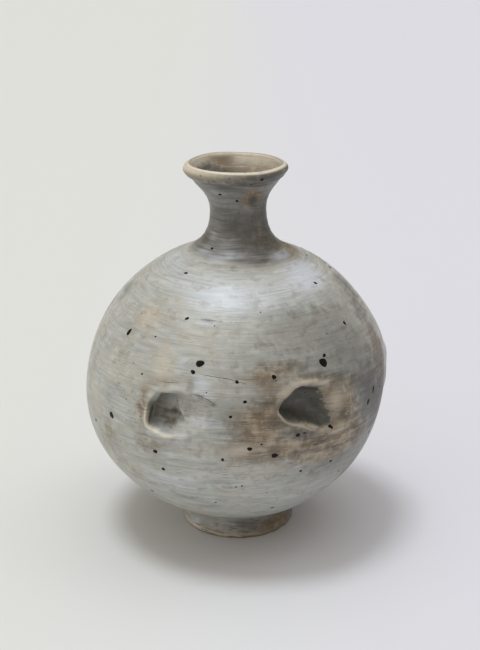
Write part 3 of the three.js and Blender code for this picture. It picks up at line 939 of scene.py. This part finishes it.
def crack_shapes():
    """Points and faces of the hairline cracks, and of the dark line of the same make that paints a
    shadow.

    A crack is a thin ribbon along its line of places: a ridge a few hundredths of a millimetre
    high, as wide as a half sine wave with random steps, with sunken sides and a keel.
    """
    steps = 24
    draw = np.random.default_rng(CRACK_AND_SHADOW_LINE_WIDTHS_SEED)
    points, faces = [], []
    for width, *path in CRACKS_AND_SHADOW_LINE_SEEN:
        along = np.linspace(0, len(path) - 1, steps)
        marks = np.array(path, float)
        pixels = [np.interp(along, np.arange(len(path)), marks[:, i]) for i in range(2)]
        station, azimuth = find_on_skin(np.stack(pixels, -1))
        middle = skin(station, azimuth)
        normal = skin_normal(station, azimuth)
        side = np.cross(normal, np.gradient(middle, axis=0))
        side /= np.linalg.norm(side, axis=-1, keepdims=True)
        taper = np.sin(np.linspace(0.12, math.pi - 0.12, steps)) * draw.uniform(0.5, 1.0, steps)
        reach = 0.5 * width * taper[:, None] * side
        ring = (middle - reach - 0.04 * normal, middle + 0.06 * normal,
                middle + reach - 0.04 * normal, middle - 0.5 * normal)
        first = 4 * steps * len(points)
        points.append(np.stack(ring, axis=1).reshape(-1, 3))
        corner = np.arange(4)
        for step in range(steps - 1):
            here = first + 4 * step + corner
            beside = first + 4 * step + (corner + 1) % 4
            faces += np.stack((here, here + 4, beside + 4, beside), -1).tolist()
        last = first + 4 * (steps - 1)
        faces += [(first + corner).tolist(), (last + corner)[::-1].tolist()]
    return np.concatenate(points), faces


def srgb(red, green, blue):
    """A colour given in eight-bit values, as the linear one that shaders take."""
    shares = np.array((red, green, blue)) / 255.0
    linear = np.where(shares <= 0.04045, shares / 12.92, ((shares + 0.055) / 1.055) ** 2.4)
    return tuple(round(float(value), 4) for value in linear)


class Wiring:
    """Adds the nodes of one material or group, and joins them."""

    def __init__(self, tree):
        self.tree = tree

    def add(self, kind, inputs=None, **settings):
        """A node with its settings. An input is joined to a socket or set to a value."""
        node = self.tree.nodes.new(kind)
        for name, value in settings.items():
            setattr(node, name, value)
        for name, value in (inputs or {}).items():
            if isinstance(value, bpy.types.NodeSocket):
                self.tree.links.new(value, node.inputs[name])
            else:
                node.inputs[name].default_value = value
        return node

    def calculate(self, operation, first, second):
        """The result of one sum on two numbers."""
        return self.add("ShaderNodeMath", {0: first, 1: second}, operation=operation).outputs[0]

    def total(self, *terms):
        """The sum of pairs of a socket and its weight, after a plain number."""
        result = terms[0]
        for socket, weight in terms[1:]:
            part = self.calculate("MULTIPLY", socket, weight)
            result = self.calculate("ADD", part, result)
        return result

    def spread(self, value, low, high, most=1.0):
        """Smoothstep of a value from low to high, from 0 to the most."""
        inputs = {0: value, 1: low, 2: high, 3: 0.0, 4: most}
        node = self.add("ShaderNodeMapRange", inputs, interpolation_type="SMOOTHSTEP")
        return node.outputs[0]

    def mix(self, factor, *colours):
        """A mix of two colours, each a socket or three numbers."""
        first, second = (
            colour if isinstance(colour, bpy.types.NodeSocket) else (*colour, 1.0)
            for colour in colours
        )
        inputs = {0: factor, 6: first, 7: second}
        return self.add("ShaderNodeMix", inputs, data_type="RGBA").outputs[2]

    def stretch(self, vector, around, along):
        """A flow vector stretched round the pot and along its section."""
        inputs = {0: vector, 1: (around, around, along)}
        return self.add("ShaderNodeVectorMath", inputs, operation="MULTIPLY").outputs[0]

    def noise(self, vector, scale, detail=2.0, roughness=0.5, distortion=0.0):
        """Smooth noise from 0 to 1, about 0.5."""
        inputs = {
            "Vector": vector,
            "Scale": scale,
            "Detail": detail,
            "Roughness": roughness,
            "Distortion": distortion,
        }
        return self.add("ShaderNodeTexNoise", inputs).outputs[0]

    def mask(self, name):
        """The value of a mask kept on the piece's points."""
        return self.add("ShaderNodeAttribute", attribute_name=name).outputs["Fac"]


def new_group(name, inputs, outputs):
    """An empty shader node group, with its input and output nodes."""
    group = bpy.data.node_groups.new(name, "ShaderNodeTree")
    for label, kind in inputs:
        group.interface.new_socket(label, in_out="INPUT", socket_type=kind)
    for label in outputs:
        group.interface.new_socket(label, in_out="OUTPUT", socket_type="NodeSocketFloat")
    wiring = Wiring(group)
    return group, wiring, wiring.add("NodeGroupInput"), wiring.add("NodeGroupOutput")


def brush_strokes():
    """Group: the marks of a stiff brush that went level round the pot.

    They are noise stretched along the flow at three scales, hairs where a thinner noise peaks,
    dashes where a short one peaks inside patches, noise stretched down the wall, and soft bands
    a few millimetres high.
    """
    names = ("Fine", "Middle", "Broad", "Hairs", "Dashes", "Down", "Bands")
    group, wiring, given, result = new_group(
        "brush_strokes", [("Flow", "NodeSocketVector")], names
    )
    flow = given.outputs["Flow"]
    tilted = wiring.add("ShaderNodeMapping", {"Vector": flow, "Rotation": (0.05, -0.04, 0.0)})
    tilted = tilted.outputs[0]
    broad = wiring.noise(wiring.stretch(flow, 1.6, 9.0), 1.0, 4.0, 0.6)
    middle = wiring.noise(wiring.stretch(tilted, 2.4, 48.0), 1.0, 4.0, 0.65)
    fine = wiring.noise(wiring.stretch(flow, 4.5, 125.0), 1.0, 3.0, 0.65)
    hair = wiring.noise(wiring.stretch(tilted, 4.0, 210.0), 1.0, 1.0, 0.5)
    hairs = wiring.calculate(
        "MULTIPLY", wiring.spread(hair, 0.6, 0.72), wiring.spread(broad, 0.42, 0.6)
    )
    dash = wiring.noise(wiring.stretch(flow, 13.0, 170.0), 1.0, 2.0, 0.5)
    cluster = wiring.noise(wiring.stretch(flow, 6.0, 20.0), 1.0, 2.0, 0.5)
    dashes = wiring.calculate(
        "MULTIPLY", wiring.spread(dash, 0.54, 0.62), wiring.spread(cluster, 0.46, 0.58)
    )
    down = wiring.noise(wiring.stretch(flow, 42.0, 8.0), 1.0, 3.0, 0.6)
    bands = wiring.noise(wiring.stretch(flow, 5.5, 30.0), 1.0, 1.5, 0.5)
    for name, socket in zip(names, (fine, middle, broad, hairs, dashes, down, bands)):
        wiring.tree.links.new(socket, result.inputs[name])
    return group


def mottling():
    """Group: uneven glaze. Clouds a few centimetres wide, blotches of a few millimetres, grain
    under two millimetres, and specks in the middles of a few random cells."""
    names = ("Clouds", "Blotches", "Grain", "Specks")
    group, wiring, given, result = new_group("mottling", [("Place", "NodeSocketVector")], names)
    place = given.outputs["Place"]
    clouds = wiring.noise(place, 38.0, 4.0, 0.6, 0.4)
    blotches = wiring.noise(place, 150.0, 3.0, 0.6, 0.3)
    grain = wiring.noise(place, 650.0, 3.0, 0.6)
    cells = wiring.add("ShaderNodeTexVoronoi", {"Vector": place, "Scale": 210.0})
    near = wiring.spread(cells.outputs["Distance"], 0.13, 0.06)
    chance = wiring.add("ShaderNodeSeparateColor", {0: cells.outputs["Color"]}).outputs[0]
    specks = wiring.calculate("MULTIPLY", near, wiring.spread(chance, 0.86, 0.9))
    for name, socket in zip(names, (clouds, blotches, grain, specks)):
        wiring.tree.links.new(socket, result.inputs[name])
    return group


def group_node(wiring, maker, inputs):
    """A node for a shared group, which is built the first time."""
    group = bpy.data.node_groups.get(maker.__name__) or maker()
    node = wiring.add("ShaderNodeGroup", node_tree=group)
    for name, socket in inputs.items():
        wiring.tree.links.new(socket, node.inputs[name])
    return node.outputs


def new_material(name):
    """A material with nodes, its wiring and its shader."""
    material = bpy.data.materials.new(name)
    material.use_nodes = True
    wiring = Wiring(material.node_tree)
    return material, wiring, material.node_tree.nodes["Principled BSDF"]


def surface_fields(wiring):
    """The outputs of both shared groups, fed from the piece's flow and its coordinates."""
    flow = wiring.add("ShaderNodeAttribute", attribute_name="flow").outputs["Vector"]
    place = wiring.add("ShaderNodeTexCoord").outputs["Object"]
    strokes = group_node(wiring, brush_strokes, {"Flow": flow})
    mottle = group_node(wiring, mottling, {"Place": place})
    return strokes, mottle


def slip_and_glaze(finish):
    """Brushed slip under a semi-matt glaze: two slips mixed by the strokes, tan where the slip
    is thin, dark where the glaze pools and where shade is painted, pale where it is thick and
    where highlights and sheen are painted, and hairs and specks of iron."""
    material, wiring, shader = new_material("slip_and_glaze")
    strokes, mottle = surface_fields(wiring)
    fine, middle, broad, down = (strokes[name] for name in ("Fine", "Middle", "Broad", "Down"))
    bands, clouds, blotches = strokes["Bands"], mottle["Clouds"], mottle["Blotches"]
    grain, specks = mottle["Grain"], mottle["Specks"]
    # The dark colour is pooled glaze and also painted shade.
    pooled = finish.dark_glaze

    cover = wiring.total(0.0, (fine, 0.28), (middle, 0.24), (bands, 0.3), (broad, 0.18))
    cover = wiring.spread(cover, 0.37, 0.62)
    slip = wiring.mix(cover, finish.slip_thin, finish.slip_thick)
    body = wiring.mix(cover, finish.body_dark, finish.body_pale)
    warm = wiring.total(0.0, (clouds, 0.4), (broad, 0.3), (blotches, 0.3))
    rusty = wiring.total(0.0, (clouds, 0.35), (blotches, 0.3), (down, 0.12), (middle, 0.23))
    toasted = wiring.mix(wiring.spread(rusty, 0.39, 0.54), finish.tan, finish.ochre)
    colour = wiring.mix(wiring.spread(warm, 0.44, 0.62, 0.55), slip, finish.slip_warm)

    # Coats over the slip, the lowest first: the mask, the noises of about 0.5 that break its edges,
    # the low and high ends of its ramp, how much it covers at most, and its colour
    coats = (
        # The thin coat is thin slip and bare body, and also painted shade low on the belly.
        ("thin", ((middle, 0.5), (clouds, 0.5)), 0.25, 0.75, 1.0, body),
        # The veil is thin dark glaze and also painted shade on the right of the belly.
        ("veil", ((middle, 0.5), (broad, 0.5), (blotches, 0.4)), 0.05, 0.95, 0.9, finish.veil),
        ("tan", ((middle, 0.45), (blotches, 0.5), (down, 0.15)), 0.0, 0.85, 0.9, toasted),
        # The pale coat is pale glaze and also painted highlights and sheen.
        ("pale", ((fine, 0.6), (middle, 0.5), (broad, 0.4)), 0.15, 0.95, 0.75, finish.pale_glaze),
        # The dark coat is pooled glaze and also painted shade.
        ("dark", ((middle, 0.5), (blotches, 0.5), (down, 0.3)), 0.1, 0.85, 0.95, pooled),
        # The cream coat is also painted highlight on the crest of the lip and on the rims of the
        # presses.
        ("cream", ((clouds, 0.4), (blotches, 0.5)), 0.1, 0.95, 0.85, finish.cream),
    )
    shares = {}
    for name, noises, low, high, most, tint in coats:
        noise = wiring.total(-0.5 * sum(weight for _, weight in noises), *noises)
        broken = wiring.calculate("ADD", wiring.mask(name), noise)
        shares[name] = wiring.spread(broken, low, high, most)
        colour = wiring.mix(shares[name], colour, tint)

    scant = wiring.spread(wiring.total(0.0, (bands, 0.5), (blotches, 0.5)), 0.5, 0.68, 0.3)
    hairs = wiring.calculate("MULTIPLY", strokes["Hairs"], 0.35)
    dashes = wiring.calculate("MULTIPLY", strokes["Dashes"], wiring.mask("worn"))
    dashes = wiring.calculate("MULTIPLY", dashes, 0.8)
    for share, tint in (
        (scant, pooled),
        (hairs, pooled),
        (dashes, finish.burnt_clay),
        (specks, finish.iron),
    ):
        colour = wiring.mix(share, colour, tint)

    relief = wiring.total(0.0, (fine, 0.45), (middle, 0.35), (grain, 0.2), (hairs, -0.4))
    relief = wiring.total(0.0, (relief, 1.0), (dashes, -0.5), (specks, -0.5))
    bump_inputs = {"Height": relief, "Distance": finish.stroke_depth, "Strength": 1.0}
    bump = wiring.add("ShaderNodeBump", bump_inputs)
    base_rough = finish.roughness - 0.12
    rough = wiring.total(base_rough, (middle, 0.16), (grain, 0.1), (shares["tan"], 0.12))
    wiring.tree.links.new(colour, shader.inputs["Base Color"])
    wiring.tree.links.new(rough, shader.inputs["Roughness"])
    wiring.tree.links.new(bump.outputs["Normal"], shader.inputs["Normal"])
    shader.inputs["Coat Weight"].default_value = 0.12
    shader.inputs["Coat Roughness"].default_value = 0.22
    return material


def iron_glass(finish):
    """Melted iron: nearly black glass, browner towards the rim of each spot."""
    material, wiring, shader = new_material("iron_glass")
    place = wiring.add("ShaderNodeTexCoord").outputs["Object"]
    grain = wiring.noise(place, 900.0, 2.0)
    core = wiring.calculate("ADD", wiring.mask("core"), wiring.total(-0.2, (grain, 0.4)))
    colour = wiring.mix(wiring.spread(core, 0.0, 0.3), finish.iron_rim, finish.iron)
    wiring.tree.links.new(colour, shader.inputs["Base Color"])
    wiring.tree.links.new(wiring.total(0.3, (grain, 0.3)), shader.inputs["Roughness"])
    shader.inputs["Specular IOR Level"].default_value = 0.2
    return material


def crack_clay(finish):
    """Plain dull clay in the bottom of a crack, and in the dark line that paints a shadow."""
    material, _, shader = new_material("crack_clay")
    shader.inputs["Base Color"].default_value = (*finish.burnt_clay, 1.0)
    shader.inputs["Roughness"].default_value = 0.8
    shader.inputs["Specular IOR Level"].default_value = 0.2
    return material


def colour_property(label, words, levels):
    """A colour that a user may change, given in eight-bit values."""
    return bpy.props.FloatVectorProperty(
        name=label,
        description=words,
        default=srgb(*levels),
        size=3,
        subtype="COLOR",
        min=0.0,
        max=1.0,
    )


def number_property(label, words, value, most):
    """A number that a user may change. Lengths are in metres."""
    return bpy.props.FloatProperty(
        name=label, description=words, default=value, min=0.0, max=most, precision=5
    )


class BottleFinish(bpy.types.PropertyGroup):
    """Colours of the slips, glazes and clay, and how deep and how rough they are."""

    slip_thick: colour_property("Thick slip", "Where the brush left much slip", (202, 205, 201))
    slip_thin: colour_property("Thin slip", "Where the brush left little slip", (160, 163, 160))
    slip_warm: colour_property("Warm slip", "Slip that the fire warmed", (192, 185, 170))
    body_pale: colour_property("Neck, pale", "Thin slip on the neck", (150, 150, 147))
    body_dark: colour_property("Neck, dark", "Bare body on the neck", (96, 94, 89))
    # The veil colour is also painted shade on the right of the belly.
    veil: colour_property("Veil", "Thin dark glaze over slip", (126, 126, 120))
    tan: colour_property("Tan", "Toasted slip", (178, 163, 137))
    ochre: colour_property("Ochre", "Toasted body", (124, 106, 82))
    # Cream is also the colour of painted highlights on the lip and on the rims of the presses.
    cream: colour_property("Cream", "Slip worn to a pale edge", (230, 221, 201))
    # Pale glaze also serves as the colour of painted highlights and sheen.
    pale_glaze: colour_property("Pale glaze", "Glaze over thick slip", (212, 219, 230))
    # Dark glaze also serves as the colour of painted shade.
    dark_glaze: colour_property("Dark glaze", "Glaze pooled on the body", (80, 79, 72))
    iron: colour_property("Iron", "Iron spots and specks", (14, 12, 11))
    iron_rim: colour_property("Iron rim", "Rim of an iron spot", (56, 46, 37))
    # Burnt clay also colours the painted shadow line beside the left press.
    burnt_clay: colour_property("Burnt clay", "Clay under the slip", (66, 58, 50))
    stroke_depth: number_property("Stroke depth", "Depth of the brush marks", 0.00028, 0.002)
    spot_relief: number_property("Spot relief", "How proud the iron spots stand", 0.00012, 0.001)
    roughness: number_property("Glaze roughness", "Mean roughness of the glaze", 0.42, 1.0)


class BottleStage(bpy.types.PropertyGroup):
    """The floor and the light."""

    # The two floor colours paint the tints of the light from each side.
    floor_left: colour_property("Floor, left", "Paper on the left", (222, 224, 221))
    floor_right: colour_property("Floor, right", "Paper on the right", (219, 220, 230))
    backdrop: colour_property("Backdrop", "Paper behind the floor", (218, 220, 224))
    floor_reach: number_property("Floor reach", "Half the width of the floor", 9.0, 50.0)
    key: number_property("Key light", "Strength of the lamp above", 1.1, 10.0)
    ceiling: number_property("Ceiling light", "Strength of the soft light above", 0.76, 10.0)
    fill: number_property("Fill light", "Strength of the light from the left front", 0.5, 10.0)
    window: number_property("Window light", "Strength of the light from the right", 0.2, 10.0)
    surround: number_property("Surround", "Strength of the light from all round", 0.35, 10.0)


def shared_material(maker, finish):
    """A material that more than one piece uses, built the first time under its maker's name."""
    return bpy.data.materials.get(maker.__name__) or maker(finish)


class BOTTLE_OT_foot_ring(bpy.types.Operator):
    """Throws the flared ring that the pot stands on, with its chipped edge"""

    bl_idname = "bottle.foot_ring"
    bl_label = "Foot ring"

    def execute(self, context):
        ring = (ENDS["recess"], ENDS["ring_top"], FOOT_ROW)
        throw_section(context, "foot_ring", "bare_clay", ring)
        return {"FINISHED"}


class BOTTLE_OT_lower_bowl(bpy.types.Operator):
    """Throws the lower half of the belly, with the floor of the pot"""

    bl_idname = "bottle.lower_bowl"
    bl_label = "Lower bowl"

    def execute(self, context):
        recess = (0.0, ENDS["recess"], RECESS_ROW)
        outside = (ENDS["ring_top"], ENDS["widest"], WALL_ROW)
        inside = (ENDS["widest_inside"], ENDS["floor"], INSIDE_ROW)
        throw_section(context, "lower_bowl", "brushed_slip", recess, outside, inside)
        return {"FINISHED"}


class BOTTLE_OT_upper_bowl(bpy.types.Operator):
    """Throws the upper half of the belly, with its thumb presses"""

    bl_idname = "bottle.upper_bowl"
    bl_label = "Upper bowl"

    def execute(self, context):
        top = ENDS["widest"] + PRESSED_HEIGHT
        pressed = (ENDS["widest"], top, FINE_ROW)
        shoulder = (top + WALL_ROW, ENDS["neck_root"], WALL_ROW)
        inside = (ENDS["root_inside"], ENDS["widest_inside"], INSIDE_ROW)
        throw_section(context, "upper_bowl", "brushed_slip", pressed, shoulder, inside)
        return {"FINISHED"}


class BOTTLE_OT_neck(bpy.types.Operator):
    """Throws the waisted neck, with its throwing rings"""

    bl_idname = "bottle.neck"
    bl_label = "Neck"

    def execute(self, context):
        outside = (ENDS["neck_root"], ENDS["lip"], FINE_ROW)
        inside = (ENDS["lip_inside"], ENDS["root_inside"], WALL_ROW)
        throw_section(context, "neck", "thin_slip", outside, inside)
        return {"FINISHED"}


class BOTTLE_OT_mouth_lip(bpy.types.Operator):
    """Rolls the lip over the mouth"""

    bl_idname = "bottle.mouth_lip"
    bl_label = "Lip"

    def execute(self, context):
        roll = (ENDS["lip"], ENDS["lip_inside"], LIP_ROW)
        throw_section(context, "mouth_lip", "thin_slip", roll)
        return {"FINISHED"}


class BOTTLE_OT_iron_spots(bpy.types.Operator):
    """Adds the spots of iron that melted through the slip"""

    bl_idname = "bottle.iron_spots"
    bl_label = "Iron spots"

    def execute(self, context):
        finish = context.scene.bottle_finish
        points, faces, core = spot_shapes(finish.spot_relief / MM)
        iron = shared_material(iron_glass, finish)
        piece = new_piece("iron_spots", points, faces, "brushed_slip", iron)
        attribute = piece.data.attributes.new("core", "FLOAT", "POINT")
        attribute.data.foreach_set("value", core)
        return {"FINISHED"}


class BOTTLE_OT_cracks(bpy.types.Operator):
    """Adds the hairline cracks beside the left press, and a dark line that paints the shadow along
    the upper edge of its scoop
    """

    bl_idname = "bottle.cracks"
    bl_label = "Hairline cracks"

    def execute(self, context):
        clay = shared_material(crack_clay, context.scene.bottle_finish)
        new_piece("hairline_cracks", *crack_shapes(), "brushed_slip", clay)
        return {"FINISHED"}


def add_sun(name, strength, angle, direction, colour):
    """A far light that shines along a direction, as wide as its angle in degrees."""
    light = bpy.data.lights.new(name, "SUN")
    light.energy = strength
    light.angle = math.radians(angle)
    light.color = colour
    lamp = bpy.data.objects.new(name, light)
    lamp.rotation_euler = Vector(direction).to_track_quat("-Z", "Y").to_euler()
    bpy.context.scene.collection.objects.link(lamp)


def add_floor(stage):
    """A wide plain floor, warmer on the left and cooler on the right, which are painted tints of
    the light from each side.
    """
    reach = stage.floor_reach
    corners = [(-reach, -reach, 0), (reach, -reach, 0), (reach, reach, 0), (-reach, reach, 0)]
    mesh = bpy.data.meshes.new("floor")
    mesh.from_pydata(corners, [], [(0, 1, 2, 3)])
    material, wiring, shader = new_material("floor_paper")
    place = wiring.add("ShaderNodeTexCoord").outputs["Object"]
    across = wiring.add("ShaderNodeSeparateXYZ", {0: place}).outputs["X"]
    side = wiring.spread(across, -FLOOR_BLEND, FLOOR_BLEND)
    colour = wiring.mix(side, stage.floor_left, stage.floor_right)
    wiring.tree.links.new(colour, shader.inputs["Base Color"])
    shader.inputs["Roughness"].default_value = 0.9
    shader.inputs["Specular IOR Level"].default_value = 0.1
    mesh.materials.append(material)
    floor = bpy.data.objects.new("floor", mesh)
    bpy.context.scene.collection.objects.link(floor)


def add_camera(scene):
    """A camera where the photograph was taken from."""
    camera = bpy.data.cameras.new("camera")
    camera.sensor_fit = "HORIZONTAL"
    camera.sensor_width = SENSOR_WIDTH
    camera.lens = FOCAL_PIXELS / PHOTO_WIDTH * SENSOR_WIDTH
    camera.clip_end = 100.0
    holder = bpy.data.objects.new("camera", camera)
    holder.location = Vector(CAMERA_PLACE) * MM
    holder.rotation_euler = (0.5 * math.pi - CAMERA_PITCH, 0.0, 0.0)
    scene.collection.objects.link(holder)
    scene.camera = holder


def add_surround(scene, stage):
    """Warm light from all round, and the pale backdrop that the camera sees past the floor."""
    world = bpy.data.worlds.new("surround")
    world.use_nodes = True
    wiring = Wiring(world.node_tree)
    light = wiring.tree.nodes["Background"]
    light.inputs["Color"].default_value = SURROUND_COLOUR
    light.inputs["Strength"].default_value = stage.surround
    backdrop = wiring.add("ShaderNodeBackground", {"Color": (*stage.backdrop, 1.0)})
    straight = wiring.add("ShaderNodeLightPath").outputs["Is Camera Ray"]
    shaders = {0: straight, 1: light.outputs[0], 2: backdrop.outputs[0]}
    both = wiring.add("ShaderNodeMixShader", shaders).outputs[0]
    wiring.tree.links.new(both, wiring.tree.nodes["World Output"].inputs["Surface"])
    scene.world = world


class BOTTLE_OT_stage(bpy.types.Operator):
    """Sets the floor, the light and the camera"""

    bl_idname = "bottle.stage"
    bl_label = "Stage"

    def execute(self, context):
        scene = context.scene
        stage = scene.bottle_stage
        add_floor(stage)
        add_camera(scene)
        for name, lamp in LAMPS.items():
            add_sun(name, getattr(stage, name), *lamp)
        add_surround(scene, stage)
        scene.view_settings.view_transform = "Standard"
        return {"FINISHED"}


class BOTTLE_PT_build(bpy.types.Panel):
    """Lists the pieces of the bottle in the sidebar"""

    bl_idname = "BOTTLE_PT_build"
    bl_label = "Bottle"
    bl_space_type = "VIEW_3D"
    bl_region_type = "UI"
    bl_category = "Bottle"

    def draw(self, context):
        for operator in OPERATORS:
            self.layout.operator(operator.bl_idname)
        for group in (context.scene.bottle_finish, context.scene.bottle_stage):
            for name in group.__annotations__:
                self.layout.prop(group, name)


OPERATORS = (
    BOTTLE_OT_stage,
    BOTTLE_OT_foot_ring,
    BOTTLE_OT_lower_bowl,
    BOTTLE_OT_upper_bowl,
    BOTTLE_OT_neck,
    BOTTLE_OT_mouth_lip,
    BOTTLE_OT_iron_spots,
    BOTTLE_OT_cracks,
)
CLASSES = (BottleFinish, BottleStage, *OPERATORS, BOTTLE_PT_build)


def register():
    """Makes the classes and the scene's values known to Blender."""
    for cls in CLASSES:
        bpy.utils.register_class(cls)
    bpy.types.Scene.bottle_finish = bpy.props.PointerProperty(type=BottleFinish)
    bpy.types.Scene.bottle_stage = bpy.props.PointerProperty(type=BottleStage)


def unregister():
    """Takes the classes and the scene's values away again."""
    del bpy.types.Scene.bottle_stage
    del bpy.types.Scene.bottle_finish
    for cls in reversed(CLASSES):
        bpy.utils.unregister_class(cls)


def main():
    """Builds the stage and every piece."""
    register()
    for operator in OPERATORS:
        group, name = operator.bl_idname.split(".")
        getattr(getattr(bpy.ops, group), name)()


if __name__ == "__main__":
    main()
